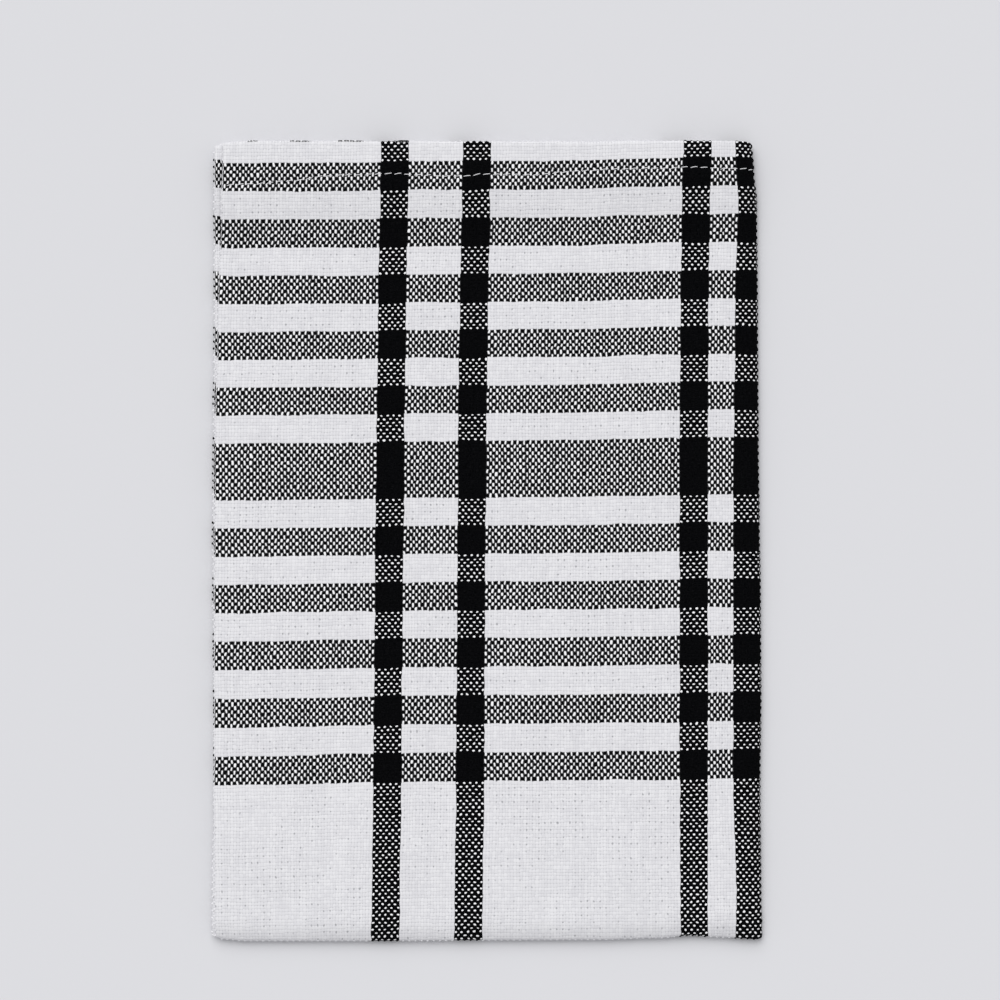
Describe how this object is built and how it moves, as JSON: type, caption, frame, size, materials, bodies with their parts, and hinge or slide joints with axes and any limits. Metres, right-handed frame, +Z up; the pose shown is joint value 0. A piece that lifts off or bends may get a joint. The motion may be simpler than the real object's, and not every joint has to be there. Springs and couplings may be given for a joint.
{
  "type": "folded cloth napkin",
  "caption": "Striped woven cotton napkin with hemmed ends, folded end to end and side to side, lying flat.",
  "frame": {"origin": "middle of the folded cloth's footprint, on the surface it lies on", "axes": "+Z up, +Y towards the hemmed ends, +X towards the side fold, from the open selvedges"},
  "size_m": [0.2268, 0.3284, 0.0088],
  "materials": {
    "cotton": "matt plain weave",
    "thread": "matt sewing cotton"
  },
  "bodies": {
    "root": {"napkin": "cotton"}
  },
  "joints": []
}
